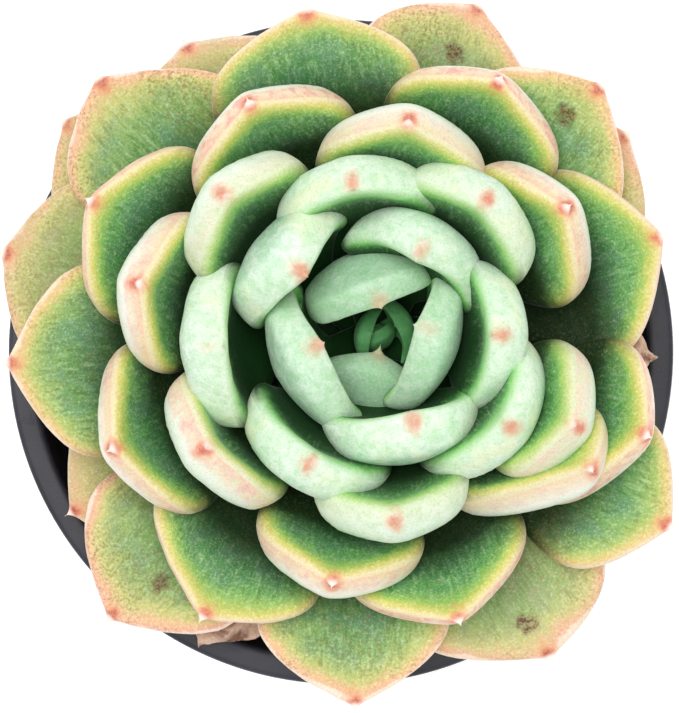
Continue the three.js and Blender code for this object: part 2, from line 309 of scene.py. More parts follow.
skirt_foot = POT_HEIGHT - RIM_SKIRT
pot_profile = [
    (0, RAISED, 0),
    (RAISED_RADIUS, RAISED, 0.5),
    (RAISED_RADIUS + 1, 0, 0.5),
    (BASE_RADIUS - 2 * EDGE, 0, 1),
    (BASE_RADIUS, 2 * EDGE, 1),
    (inner_radius(FOOT_BAND) + WALL, FOOT_BAND, 0.3),
    (inner_radius(FOOT_BAND + EDGE / 2) + WALL - FOOT_STEP, FOOT_BAND + EDGE / 2, 0.3),
    (inner_radius(skirt_foot - COLLAR) + WALL - COLLAR_STEP, skirt_foot - COLLAR, 0.3),
    (inner_radius(POT_HEIGHT - WALL) + WALL, POT_HEIGHT - WALL, 0.5),
    (RIM_RADIUS - WALL, POT_HEIGHT - WALL, 0.5),
    (RIM_RADIUS - WALL, skirt_foot, 0.4),
    (RIM_RADIUS, skirt_foot, 0.4),
    (RIM_RADIUS, POT_HEIGHT, 1),
    (RIM_RADIUS - RIM_BAND, POT_HEIGHT, 1),
    (inner_radius(POT_HEIGHT - LEDGE), POT_HEIGHT - LEDGE, 0.3),
    (inner_radius(POT_HEIGHT - LEDGE - EDGE / 2) - LEDGE_STEP, POT_HEIGHT - LEDGE - EDGE / 2, 0.3),
    (inner_radius(FLOOR), FLOOR, 1),
    (0, FLOOR, 0),
]
pot_mesh = turned("pot_visual", softened(pot_profile, EDGE * 1.2), POT_SIDES)
pot = add_object("pot_visual", pot_mesh)
drills = bmesh.new()
radius = DRAIN_RADIUS * MM
for hole in range(DRAIN_HOLES):
    turn = 2 * math.pi * hole / DRAIN_HOLES
    drill = bmesh.ops.create_cone(
        drills, cap_ends=True, segments=DRAIN_SIDES, radius1=radius, radius2=radius, depth=4 * FLOOR * MM
    )
    middle = Vector((DRAIN_CIRCLE * math.cos(turn), DRAIN_CIRCLE * math.sin(turn), FLOOR / 2)) * MM
    bmesh.ops.translate(drills, verts=drill["verts"], vec=middle)
drill_mesh = bpy.data.meshes.new("drills")
drills.to_mesh(drill_mesh)
drills.free()
cutter = add_object("drills", drill_mesh)
cut = pot.modifiers.new("drain holes", "BOOLEAN")
cut.operation = "DIFFERENCE"
cut.solver = "EXACT"
cut.object = cutter


def finished(thing):
    """The object's mesh with its modifiers applied, which are then taken off."""
    thing.update_tag()
    layers = bpy.context.evaluated_depsgraph_get()
    layers.update()
    done = bpy.data.meshes.new_from_object(
        thing.evaluated_get(layers), preserve_all_data_layers=True, depsgraph=layers
    )
    thing.modifiers.clear()
    done.name = thing.name
    thing.data = done
    return thing


finished(pot)
bpy.data.objects.remove(cutter)

black_plastic, nodes, shader = new_finish("black_plastic")
place = nodes.place()
grain = nodes.noise(place, 2600.0, 2.0)
cloud = nodes.noise(place, 70.0, 4.0)
scuff = nodes.noise(place, 420.0, 6.0, 1.5).smooth(0.6, 0.72)
height = nodes.axis(place, "Z")
# the top of the rim paler, in cloudy patches
rim_top_paler = (height.smooth(0.0835, 0.0865) * (cloud.smooth(0.35, 0.7) * 0.5 + 0.25)).clamped()
colour = nodes.mix(cloud.smooth(0.3, 0.7), rgb(26, 27, 33), rgb(36, 37, 46))
colour = nodes.mix(rim_top_paler * 0.6, colour, rgb(70, 71, 84))
colour = nodes.mix(scuff * 0.1, colour, rgb(110, 108, 108))
nodes.fill(shader, {
    "Base Color": colour,
    "Roughness": 0.42 + cloud * 0.12 + scuff * 0.15,
    "Specular IOR Level": 0.5,
    "Normal": nodes.bump(grain * 0.6 + scuff * 0.4, 0.12, 0.0004),
})
pot.data.materials.clear()
pot.data.materials.append(black_plastic)
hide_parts("pot")
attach(pot, "root")

# The potting mix: dark bark and peat with grit and shreds of root, pressed in level with the oldest
# leaves. One closed body fills the pot, and loose crumbs lie on top of it.
MIX_LEVEL = 78.0
MIX_SETTLED = 1.5
CLEARANCE = 0.3
MIX_SIDES = 160
MIX_RINGS = 36
MIX_SLACK = 0.3
MIX_CORNER = 1.0
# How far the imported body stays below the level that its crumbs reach
UNDER_CRUMBS = 0.6
# Humps of the top: height in millimetres, and how closely they follow one another
MIX_HUMPS = ((0.7, 260), (0.4, 900))
HUMPS_DEPTH = 1.6
CRUMB_DENSITY = 260000.0
CRUMB_SIZES = (0.0007, 0.0042)
CRUMB_BREAKS = (0.65, 1.15)
CRUMB_FLATNESS = 0.6
CRUMB_TUMBLE = (1.2, 1.2, 6.28)
CRUMB_DEPTH = 1.5

mix_foot = FLOOR + CLEARANCE
mix_edge = MIX_LEVEL - MIX_SETTLED
edge_radius = inner_radius(mix_edge) - CLEARANCE - MIX_SLACK
mix_profile = [
    (0, mix_foot),
    (inner_radius(mix_foot) - 2 * EDGE, mix_foot),
    (edge_radius, mix_edge - MIX_CORNER),
]
for step in range(MIX_RINGS + 1):
    r = edge_radius * (1 - step / MIX_RINGS)
    settled = max(0.0, (r - RIM_RADIUS / 2) / (edge_radius - RIM_RADIUS / 2))
    mix_profile.append((r if step < MIX_RINGS else 0.0, MIX_LEVEL - UNDER_CRUMBS - MIX_SETTLED * settled))
potting_mix = add_object("potting_mix_visual", turned("potting_mix_visual", mix_profile, MIX_SIDES))
for vertex in potting_mix.data.vertices:
    if vertex.co.z > (mix_edge - HUMPS_DEPTH) * MM:
        vertex.co.z += sum(hump * MM * noise.noise(vertex.co * closeness) for hump, closeness in MIX_HUMPS)

dark_mix, nodes, shader = new_finish("dark_mix")
place = nodes.place()
lumps = nodes.noise(place, 420.0, 5.0, 0.6)
fine = nodes.noise(place, 2400.0, 3.0)
grains = nodes.add("ShaderNodeTexVoronoi", {}, {"Vector": place, "Scale": 700.0}, "Color")
tone = nodes.add("ShaderNodeSeparateColor", {}, {"Color": grains}, 0)
colour = nodes.mix(lumps.smooth(0.35, 0.65), rgb(20, 14, 11), rgb(52, 38, 29))
colour = nodes.mix(tone.smooth(0.82, 0.9) * 0.8, colour, rgb(96, 74, 54))
colour = nodes.mix(tone.smooth(0.95, 0.97) * 0.7, colour, rgb(168, 158, 142))
colour = nodes.mix(fine.smooth(0.55, 0.75) * 0.5, colour, rgb(74, 58, 44))
nodes.fill(shader, {
    "Base Color": colour,
    "Roughness": 0.82 + fine * 0.15,
    "Specular IOR Level": 0.25,
    "Normal": nodes.bump(lumps + fine * 0.5, 0.8, 0.0008),
})
potting_mix.data.materials.append(dark_mix)

# One crumb, a broken lump of twenty faces, which the modifier strews over the top
draw = random.Random(7)
lump = bmesh.new()
bmesh.ops.create_icosphere(lump, subdivisions=1, radius=0.5)
for vertex in lump.verts:
    vertex.co *= draw.uniform(*CRUMB_BREAKS)
    vertex.co.z *= CRUMB_FLATNESS
crumb_mesh = bpy.data.meshes.new("crumb")
lump.to_mesh(crumb_mesh)
lump.free()
crumb_mesh.materials.append(dark_mix)
crumb = add_object("crumb", crumb_mesh)


class Modifier:
    """A Geometry Nodes tree with named inputs, and the modifier that runs it on an object."""

    def __init__(self, name, inputs):
        self.group = bpy.data.node_groups.new(name, "GeometryNodeTree")
        self.tree = Tree(self.group)
        self.sockets = {
            label: self.group.interface.new_socket(label, in_out="INPUT", socket_type="NodeSocket" + kind)
            for label, kind in inputs.items()
        }
        self.group.interface.new_socket("Geometry", in_out="OUTPUT", socket_type="NodeSocketGeometry")
        self.entry = self.group.nodes.new("NodeGroupInput")
        self.exit = self.group.nodes.new("NodeGroupOutput")

    def __getitem__(self, label):
        return Field(self.tree, self.entry.outputs[label])

    def ends(self, geometry):
        self.tree.fill(self.exit, {"Geometry": geometry})

    def applied(self, thing, values):
        """Runs the tree on an object with these values, and leaves its result as the object's plain mesh."""
        modifier = thing.modifiers.new(self.group.name, "NODES")
        modifier.node_group = self.group
        for label, value in values.items():
            modifier[self.sockets[label].identifier] = value
        return finished(thing)


strew = Modifier("crumbs", {"Geometry": "Geometry", "Density": "Float", "Least": "Float", "Most": "Float",
                            "Seed": "Int", "Crumb": "Object", "Level": "Float", "Finish": "Material"})
t = strew.tree
above = t.axis(t.add("GeometryNodeInputPosition"), "Z")
spots = t.add("GeometryNodeDistributePointsOnFaces", {"distribute_method": "RANDOM"}, {
    "Mesh": strew["Geometry"],
    "Selection": above.math("GREATER_THAN", strew["Level"]),
    "Density": strew["Density"],
    "Seed": strew["Seed"],
})
size = t.add("FunctionNodeRandomValue", {"data_type": "FLOAT"}, {
    "Min": 0.0, "Max": 1.0, "Seed": strew["Seed"],
})
size = strew["Least"] + (strew["Most"] - strew["Least"]) * size ** 3
turn = t.add("FunctionNodeRandomValue", {"data_type": "FLOAT_VECTOR"}, {
    "Min": (0, 0, 0), "Max": CRUMB_TUMBLE, "Seed": strew["Seed"],
})
lumps = t.add("GeometryNodeInstanceOnPoints", {}, {
    "Points": spots,
    "Instance": t.add("GeometryNodeObjectInfo", {}, {"Object": strew["Crumb"]}, "Geometry"),
    "Rotation": turn,
    "Scale": t.add("ShaderNodeCombineXYZ", {}, {0: size, 1: size, 2: size}),
})
loose = t.add("GeometryNodeRealizeInstances", {}, {"Geometry": lumps})
all_mix = t.add("GeometryNodeJoinGeometry", {}, {"Geometry": strew["Geometry"]})
t.nodes.links.new(loose.socket, all_mix.socket.node.inputs[0])
strew.ends(t.add("GeometryNodeSetMaterial", {}, {"Geometry": all_mix, "Material": strew["Finish"]}))
strew.applied(potting_mix, {
    "Density": CRUMB_DENSITY, "Least": CRUMB_SIZES[0], "Most": CRUMB_SIZES[1], "Seed": 11, "Crumb": crumb,
    "Level": (mix_edge - CRUMB_DEPTH) * MM, "Finish": dark_mix,
})
bpy.data.objects.remove(crumb)
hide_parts("potting_mix")
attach(potting_mix, "root")

# Root shreds: dry pale fibres of old root, about a fifth of a millimetre thick. They lie loose on the mix
# between the stem and the wall.
SHREDS = 70
SHRED_RADIUS = 0.11
SHRED_STRIDE = 1.5
SHRED_ZONE = (24, 43)
SHRED_LIMIT = 44.0
SHRED_POINTS = (5, 9)
SHRED_LIFT = (-0.6, 0.9)
SHRED_TAPER = (0.6, 1.4)
SHRED_BEND = 0.7
draw = random.Random(23)
shreds = bpy.data.curves.new("root_shreds", "CURVE")
shreds.dimensions = "3D"
shreds.bevel_depth = SHRED_RADIUS * MM
shreds.bevel_resolution = 1
for _ in range(SHREDS):
    bearing, reach = draw.uniform(0, 2 * math.pi), draw.uniform(*SHRED_ZONE)
    x, y = reach * math.cos(bearing), reach * math.sin(bearing)
    heading = draw.uniform(0, 2 * math.pi)
    spline = shreds.splines.new("NURBS")
    count = draw.randint(*SHRED_POINTS)
    spline.points.add(count - 1)
    for i, point in enumerate(spline.points):
        point.co = (x * MM, y * MM, (MIX_LEVEL + draw.uniform(*SHRED_LIFT)) * MM, 1)
        point.radius = draw.uniform(*SHRED_TAPER)
        heading += draw.uniform(-SHRED_BEND, SHRED_BEND)
        x += SHRED_STRIDE * math.cos(heading)
        y += SHRED_STRIDE * math.sin(heading)
        pull = min(1.0, SHRED_LIMIT / math.hypot(x, y))
        x, y = x * pull, y * pull
    spline.use_endpoint_u = True
    spline.order_u = 3
    spline.resolution_u = 3
shreds.use_fill_caps = True
fibre = add_object("root_shreds", shreds)
layers = bpy.context.evaluated_depsgraph_get()
layers.update()
fibre_mesh = bpy.data.meshes.new_from_object(fibre.evaluated_get(layers), depsgraph=layers)
bpy.data.objects.remove(fibre)
fibre = add_object("root_shreds", fibre_mesh)
dry_root, nodes, shader = new_finish("dry_root")
place = nodes.place()
tone = nodes.noise(place, 300.0, 3.0)
nodes.fill(shader, {
    "Base Color": nodes.mix(tone.smooth(0.35, 0.65), rgb(150, 128, 104), rgb(214, 204, 188)),
    "Roughness": 0.8,
    "Normal": nodes.bump(nodes.noise(place, 3000.0), 0.4, 0.0002),
})
fibre.data.materials.clear()
fibre.data.materials.append(dry_root)
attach(fibre, "root")

# The stem: a short fleshy stalk that leans as it grows. Each leaf sits on it, and it carries the pale
# scars of leaves that have dropped.
LEAVES = 49
FIRST_BEARING = 251.0
DIVERGENCE = 137.0
YOUNGEST_NODE = 15.0
OLDEST_NODE = 2.0
STEM_FOOT = (1.2, 0.0)
STEM_TIP = (5.4, 2.5)
BEND_AGES = (18, 34)
STEM_DEPTH = 16.0
STEM_RADIUS = [(0, 0.9), (10, 2.9), (48, 5.2)]
STEM_SIDES = 48
STEM_RINGS = 60
SKIN_DEPTH = 0.15
KNOTS = 0.12
KNOTS_ROUND = 8
KNOTS_RISE = 1.9
UNEVENNESS = 0.1


def law(pairs, age):
    """Value of a law of growth at an age, held level past its ends."""
    if age <= pairs[0][0]:
        return pairs[0][1]
    for (a0, v0), (a1, v1) in zip(pairs, pairs[1:]):
        if age <= a1:
            return v0 + (v1 - v0) * (age - a0) / (a1 - a0)
    return pairs[-1][1]


def smooth_step(x):
    x = min(max(x, 0.0), 1.0)
    return x * x * (3 - 2 * x)


def node_height(age):
    """Height above the mix at which a leaf leaves the stem."""
    return YOUNGEST_NODE + (OLDEST_NODE - YOUNGEST_NODE) * age / (LEAVES - 1)


def stem_centre(age):
    """Centre of the stem, in plan, where a leaf of this age leaves it."""
    bend = smooth_step((age - BEND_AGES[0]) / (BEND_AGES[1] - BEND_AGES[0]))
    return [tip + (foot - tip) * bend for tip, foot in zip(STEM_TIP, STEM_FOOT)]


stalk = bmesh.new()
rings = []
for ring in range(STEM_RINGS + 1):
    z = -STEM_DEPTH + (YOUNGEST_NODE + STEM_DEPTH) * ring / STEM_RINGS
    age = (z - YOUNGEST_NODE) / (OLDEST_NODE - YOUNGEST_NODE) * (LEAVES - 1)
    cx, cy = stem_centre(age)
    width = law(STEM_RADIUS, age) * min(1.0, 0.8 + 0.2 * (z + STEM_DEPTH) / STEM_DEPTH)
    loop = []
    for side in range(STEM_SIDES):
        turn = 2 * math.pi * side / STEM_SIDES
        way = Vector((math.cos(turn), math.sin(turn), 0))
        # low swellings where the leaves sit, along the same spiral
        swell = KNOTS * math.cos(KNOTS_ROUND * turn - KNOTS_RISE * z)
        swell += UNEVENNESS * noise.noise(way * 2 + Vector((0, 0, z / 2)))
        point = Vector((cx, cy, MIX_LEVEL + z)) + way * (width - SKIN_DEPTH + swell)
        loop.append(stalk.verts.new(point * MM))
    rings.append(loop)
for low, high in zip(rings, rings[1:]):
    for i in range(STEM_SIDES):
        j = (i + 1) % STEM_SIDES
        stalk.faces.new((low[i], low[j], high[j], high[i])).smooth = True
stalk.faces.new(list(reversed(rings[0])))
stalk.faces.new(rings[-1])
stem_mesh = bpy.data.meshes.new("stem_visual")
stalk.to_mesh(stem_mesh)
stalk.free()
stem = add_object("stem_visual", stem_mesh)
stem_skin, nodes, shader = new_finish("stem_skin")
place = nodes.place()
height = nodes.axis(place, "Z")
patch = nodes.noise(place, 500.0, 4.0)
scars = nodes.add(
    "ShaderNodeTexVoronoi", {"feature": "DISTANCE_TO_EDGE"}, {"Vector": place, "Scale": 380.0}
)
colour = nodes.mix(height.smooth(0.079, 0.09), rgb(120, 96, 68), rgb(128, 146, 92))
colour = nodes.mix(patch.smooth(0.4, 0.65) * 0.5, colour, rgb(92, 74, 52))
colour = nodes.mix(scars.smooth(0.1, 0.02) * 0.5, colour, rgb(176, 156, 120))
# painted shade: the tip of the stem, down in the heart, darkened to near-black green
colour = nodes.mix(height.smooth(0.085, 0.091), colour, rgb(30, 84, 30))
nodes.fill(shader, {
    "Base Color": colour,
    "Roughness": 0.75,
    "Normal": nodes.bump(patch - scars.smooth(0.1, 0.0) * 0.5, 0.5, 0.0005),
})
stem.data.materials.append(stem_skin)
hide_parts("stem")
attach(stem, "root")

# The leaves: thick, water-filled blades on a spiral, each with a rounded heel at the stem, a full outer half,
# a blunt crest round its upper face and a short end spine. A dull wax bloom covers them, and the older ones
# blush along the crest. Lengths are in millimetres until the last step.
REACH = [
    (-4, 0), (-3, -0.6), (-2, 0.8), (-1, 3.0), (0, 2.6), (1, 3.8), (2, 4.6), (3, 7.8), (4, 11.2), (5, 10.6),
    (6, 12.6), (8, 17.5), (10, 21), (12, 23.4), (14, 27.4), (16, 29.2), (18, 31.4), (20, 34), (24, 40.8),
    (28, 47), (32, 50.5), (36, 54.3), (40, 55.3), (48, 55.5),
]
TIP_HEIGHT = [
    (-4, 18.5), (-3, 20.5), (-1, 22.5), (0, 23), (1, 30), (2, 31), (3, 32), (4, 34), (9, 37), (14, 37),
    (20, 34), (26, 30), (32, 25), (38, 20), (48, 13),
]
TIP_SLOPE = [
    (-4, 95), (-3, 120), (-1, 125), (0, 150), (1, 130), (2, 141), (3, 136), (6, 118), (8, 104), (12, 94),
    (16, 86), (20, 76), (24, 66), (28, 48), (32, 34), (38, 22), (48, 10),
]
BASE_SLOPE = [(-4, 70), (-1, 40), (4, 38), (9, 24), (14, 20), (20, 18), (32, 17), (48, 12)]
BASE_PULL = [(-1, 0.6), (0, 0.55), (4, 0.5)]
TIP_PULL = [(0, 0.5), (2, 0.55), (6, 0.45), (48, 0.42)]
WIDTH = [
    (-4, 3.5), (-3, 7), (-2, 10), (-1, 13), (0, 16.5), (1, 20.5), (2, 22.5), (3, 24), (4, 23.5), (10, 25.5),
    (20, 26.5), (28, 29.5),
]
THICKNESS = [
    (-4, 1.4), (-1, 2.2), (0, 3.6), (2, 5.3), (4, 6.7), (12, 7), (20, 6.7), (28, 5.3), (34, 4.2), (48, 3.6),
]
CUP_RADIUS = [
    (-4, 2.5), (-3, 3.5), (-2, 5), (-1, 6.5), (0, 24), (1, 14), (2, 17), (4, 17), (6, 20), (10, 23),
    (20, 28), (30, 40), (48, 60),
]
KEEL = [(-4, 0), (0, 1), (3, 1.5), (8, 1), (14, 4), (26, 5), (36, 2.5), (48, 1)]
SPINE_LENGTH = [(-4, 0.3), (-1, 0.4), (0, 1.3), (1, 0.7), (8, 0.7), (14, 0.9), (20, 1.4), (48, 1.4)]
SPINE_LEAN = [(-4, 0), (8, 10), (14, 30), (20, 45), (28, 25), (36, 0)]
MARK_OUT = [
    (0, 0.2), (1, 0.3), (2, 2.6), (3, 0.6), (4, 2.2), (5, 1.6), (6, 0.8), (7, 2), (10, 2), (11, 4), (12, 2),
    (14, 2), (20, 0.9), (30, 0.2),
]
TURN = {
    0: 5, 1: -4, 2: 3, 3: 6, 5: -5, 6: -8, 7: -12, 8: 3, 9: 2, 10: 4, 12: 4, 13: 5, 14: 5, 15: -21,
    16: -2, 18: 2, 20: 3, 21: 6, 22: 1, 23: -6, 25: -3, 28: 5, 29: -2, 30: -3, 31: 6, 32: -5,
    33: -5, 34: -2, 35: -3.5, 37: 6, 38: -15.5, 39: -4.6, 40: -7, 41: 4, 42: -14, 43: -2, 45: 4,
    48: -14,
}
LONGER = {
    0: -0.2, 4: 0.7, 5: 1.2, 6: 0.7, 7: 1.2, 8: 2, 9: 1.7, 10: 0.8, 14: 1.6, 15: 2, 16: -0.5, 18: 2,
    19: 2, 20: -1.5, 22: 0.5, 23: 2.5, 24: -0.8, 26: -1.5, 27: -0.9, 29: -2.8, 30: 1.4, 31: 3.8,
    33: 2.6, 34: -0.2, 35: 1.6, 36: -9.5, 37: -1.3, 38: 0.3, 39: -0.6, 40: -1.5, 41: -2.5, 42: -6.5,
    43: -3, 44: -9, 45: -7, 46: -5, 47: -9,
}
SWAY = {
    0: 0.8, 1: -1.8, 2: 3.2, 3: -2.5, 5: 2.6, 8: 1.3, 16: -2, 18: 13, 23: 5, 29: 3.5, 31: 1,
    33: 1.5,
}
SKEW = {3: 1, 18: 2, 35: 2.5, 38: 3, 39: 3}
WIDER = {
    5: 1, 6: -1.5, 7: -1, 12: -2, 13: -2, 14: -2.5, 15: -4, 16: -2, 18: -1, 19: -1.5, 20: -2,
    21: -1, 28: 1, 30: 3, 31: -4, 38: 1.5, 39: 2.5,
}
BOWED = {
    0: 5.5, 1: 3.2, 3: 1.5, 5: 1.2, 6: 4, 7: -0.8, 8: 0.8, 10: -1, 11: 3.2, 13: 0.5, 15: -1.5,
    16: 3, 19: 2.3, 21: 1.5, 22: 1.2, 24: 3, 25: 2.5, 26: 1.2, 27: 1.5, 29: 1.2,
}
BLUNTER = {
    0: 1.2, 1: 3.5, 2: 0.6, 3: 1.5, 5: 1, 18: -0.6, 22: 0.3, 25: 0.5, 27: 0.4, 30: 1.2, 38: 0.2, 39: 0.8,
    40: 1, 41: 1, 43: 1.5,
}
FULLNESS = 2.2
WITHERED = (36, 42)
WITHERED_SHARE = 0.6
WITHERED_WRINKLE = 0.5
# Brown scars on the upper face: how far in from the tip, and how far aside of the midrib
SCARS = {38: (8, 1), 33: (7, 1), 39: (6, 0), 37: (9, 2)}
FAR_AWAY = 99.0

leaf = Modifier("leaf", {
    "Foot": "Vector", "Foot Handle": "Vector", "Tip Handle": "Vector", "Tip": "Vector", "Spine": "Vector",
    "Mark": "Vector", "Centre": "Vector", "Bearing": "Float", "Half Width": "Float", "Thickness": "Float",
    "Cup": "Float", "Keel": "Float", "Fullness": "Float", "Skew": "Float", "Sway": "Float",
    "Age": "Float", "Wrinkle": "Float", "Blush": "Float", "Mark Strength": "Float",
    "Scar In": "Float", "Scar Aside": "Float", "Stations": "Int", "Sides": "Int", "Spine Rings": "Int",
    "Finish": "Material",
})
t = leaf.tree
BASE_SHARE, NECK_END = 0.24, 0.22
END_LENGTH, LEAST_WIDEST = 0.95, 0.55
BASE_PLUMPNESS, HEEL, HEEL_PLUMPNESS, FULL, TIP_PLUMPNESS = 0.22, 0.15, 0.4, 0.6, 0.9
SIDE_SHARE, END_SHARE, SIDE_ROUNDING, END_ROUNDING, UPPER_ROUNDING = 0.6, 0.76, 0.14, 0.24, 2.4
SIDE_SQUARENESS, END_SQUARENESS, UPPER_SQUARENESS = 2.0, 1.4, 2.0
SPINE_START, CLOSING_UP, SPINE_TAPER, SPINE_ROOT, FOLD_ROUNDING = 0.985, 1.3, 2.2, 0.4, 0.15
HEEL_DEPTH, MIDRIB_POINTS, SEAM = 0.4, 200, 0.002
MARK_ACROSS, MARK_ALONG = 1.5, 0.7
SWELL_SCALE, SWELL, RIPPLE_SCALE, RIPPLE, CREASES = 0.22, 0.5, 0.7, 0.12, 3

stations, sides, spine_rings = leaf["Stations"], leaf["Sides"], leaf["Spine Rings"]
rows = stations + spine_rings + 1
sheet = t.add("GeometryNodeMeshGrid", {}, {
    "Size X": 1.0, "Size Y": 1.0, "Vertices X": rows, "Vertices Y": sides + 1,
}, "Mesh")
flat = t.axis(t.add("GeometryNodeInputPosition"), "X")
row = ((flat + 0.5) * (rows - 1)).math("ROUND")
angle = (flat.output("Y") + 0.5) * (2 * math.pi)
opened = row.math("MINIMUM", 1)
in_blade = ((row - 1) / (stations - 1)).clamped()
in_spine = ((row - stations) / spine_rings).clamped()
along = SPINE_START * (1 - (1 - in_blade) ** CLOSING_UP)
taper = (1 - in_spine) ** SPINE_TAPER * opened

midrib = t.add("GeometryNodeCurvePrimitiveBezierSegment", {"mode": "POSITION"}, {
    "Resolution": MIDRIB_POINTS, "Start": leaf["Foot"], "Start Handle": leaf["Foot Handle"],
    "End Handle": leaf["Tip Handle"], "End": leaf["Tip"],
})
length = t.add("GeometryNodeCurveLength", {}, {"Curve": midrib})
sample = t.add("GeometryNodeSampleCurve", {"mode": "FACTOR"}, {"Curves": midrib, "Factor": along}, "Position")
at_x, way_x = t.axis(sample, "X"), t.axis(sample.output("Tangent"), "X")
at_z, way_z = at_x.output("Z"), way_x.output("Z")

# half-width, thickness and edge of the blade at this station
widest = (1 - END_LENGTH * leaf["Half Width"] / length).math("MAXIMUM", LEAST_WIDEST)
past = (along - widest).math("MAXIMUM", 0) / (1 - widest)
neck = (along - NECK_END) / (widest - NECK_END)
neck = BASE_SHARE + (1 - BASE_SHARE) * neck.smooth(0, 1)
half = leaf["Half Width"] * neck * (1 - past ** leaf["Fullness"])
narrowing = leaf["Fullness"] * past ** (leaf["Fullness"] - 1) * leaf["Half Width"] / (length * (1 - widest))
plump = (
    BASE_PLUMPNESS
    + (HEEL_PLUMPNESS - BASE_PLUMPNESS) * (along / HEEL).clamped()
    + (1 - HEEL_PLUMPNESS) * ((along - HEEL) / (FULL - HEEL)).clamped()
    - (1 - TIP_PLUMPNESS) * ((along - FULL) / (1 - FULL)).clamped()
) * leaf["Thickness"]
side = angle.math("COSINE")
is_upper = angle.math("GREATER_THAN", math.pi)
inset = (1 - side ** 2) / 2 * half / (1 + narrowing ** 2) ** 0.5


def rounded(x, squareness):
    """Height of a rounded edge: 0 at the edge, 1 past its radius. Squareness 1 is a flat bevel, 2 a round."""
    return (1 - (1 - x.clamped()) ** squareness) ** (1 / squareness)


# the bevel is steep and round along the sides, which makes thick blunt horns, and flat across the end
turned_in = narrowing / (1 + narrowing ** 2) ** 0.5
lower_share = SIDE_SHARE + (END_SHARE - SIDE_SHARE) * turned_in
lower_rounding = (SIDE_ROUNDING + (END_ROUNDING - SIDE_ROUNDING) * turned_in) * leaf["Half Width"]
squareness = SIDE_SQUARENESS + (END_SQUARENESS - SIDE_SQUARENESS) * turned_in
lower = -lower_share * plump * rounded(inset / lower_rounding, squareness)
upper = (1 - lower_share) * plump * rounded(inset / UPPER_ROUNDING, UPPER_SQUARENESS)
face = lower + (upper - lower) * is_upper
above = face * taper - plump * HEEL_DEPTH * (1 - opened)
aside = side * half * taper

# the blade, cupped across and bent along its midrib, then turned to its bearing
skew = leaf["Skew"] * along ** 2 * aside / leaf["Half Width"]
spine_x = t.axis(leaf["Spine"], "X")
bend = aside / leaf["Cup"]
# a keel folds the blade along its midrib, so that its two halves stand straighter than a plain cup's
share_out = aside / leaf["Half Width"]
folded = (
    ((share_out ** 2 + FOLD_ROUNDING ** 2) ** 0.5 - FOLD_ROUNDING)
    / (math.hypot(1, FOLD_ROUNDING) - FOLD_ROUNDING)
)
fold = leaf["Keel"] * along ** 2 * (folded - share_out ** 2)
lift = leaf["Cup"] * (1 - bend.math("COSINE")) + fold + above
out = at_x + way_x * skew - way_z * lift + spine_x * in_spine
up = at_z + way_z * skew + way_x * lift + spine_x.output("Z") * in_spine
across = leaf["Cup"] * bend.math("SINE") + leaf["Sway"] * along ** 2
centre = t.axis(leaf["Centre"], "X")
cosine, sine = leaf["Bearing"].math("COSINE"), leaf["Bearing"].math("SINE")
place = t.add("ShaderNodeCombineXYZ", {}, {
    "X": centre + out * cosine - across * sine,
    "Y": centre.output("Y") + out * sine + across * cosine,
    "Z": centre.output("Z") + up,
})

# what the finish reads: how far a point is from the crest, above it or below, from the mark and from the scar
down = (inset ** 2 + lower ** 2) ** 0.5
from_mark = t.add("ShaderNodeVectorMath", {"operation": "SUBTRACT"}, {0: place, 1: leaf["Mark"]})
from_mark = t.axis(from_mark, "X")
mark_across = from_mark.output("Y") * cosine - from_mark * sine
mark_out = from_mark * cosine + from_mark.output("Y") * sine
mark_along = MARK_ALONG * mark_out ** 2 + MARK_ALONG * from_mark.output("Z") ** 2
mark = (MARK_ACROSS * mark_across ** 2 + mark_along) ** 0.5
scar = (((1 - along) * length - leaf["Scar In"]) ** 2 + (aside - leaf["Scar Aside"]) ** 2) ** 0.5
blade = sheet
for name, value in {
    "rim": inset * is_upper - down * (1 - is_upper),
    "inward": (1 - along) * length,
    "spine": in_spine,
    "mark": mark,
    "scar": scar + (1 - is_upper) * FAR_AWAY,
    "age": leaf["Age"],
    "aside": aside,
    "blush": leaf["Blush"],
    "mark strength": leaf["Mark Strength"],
}.items():
    blade = t.add("GeometryNodeStoreNamedAttribute", {"data_type": "FLOAT", "domain": "POINT"}, {
        "Geometry": blade, "Name": name, "Value": value,
    })
blade = t.add("GeometryNodeSetPosition", {}, {"Geometry": blade, "Position": place})
blade = t.add("GeometryNodeMergeByDistance", {}, {"Geometry": blade, "Distance": SEAM})

# no two dents alike: low swells and hollows, and deep wrinkles where the leaf has withered
swell = t.noise(t.add("GeometryNodeInputPosition"), SWELL_SCALE, 2.0) - 0.5
ripple = t.noise(t.add("GeometryNodeInputPosition"), RIPPLE_SCALE, 3.0) - 0.5
push = (swell * SWELL + ripple * RIPPLE) * (1 - in_spine) + ripple * leaf["Wrinkle"] * CREASES
offset = t.add("ShaderNodeVectorMath", {"operation": "SCALE"}, {
    "Vector": t.add("GeometryNodeInputNormal"), "Scale": push,
})
blade = t.add("GeometryNodeSetPosition", {}, {"Geometry": blade, "Offset": offset})
blade = t.add("GeometryNodeTransform", {}, {"Geometry": blade, "Scale": (MM, MM, MM)})
blade = t.add("GeometryNodeRealizeInstances", {}, {"Geometry": blade})
blade = t.add("GeometryNodeSetShadeSmooth", {}, {"Geometry": blade})
leaf.ends(t.add("GeometryNodeSetMaterial", {}, {"Geometry": blade, "Material": leaf["Finish"]}))

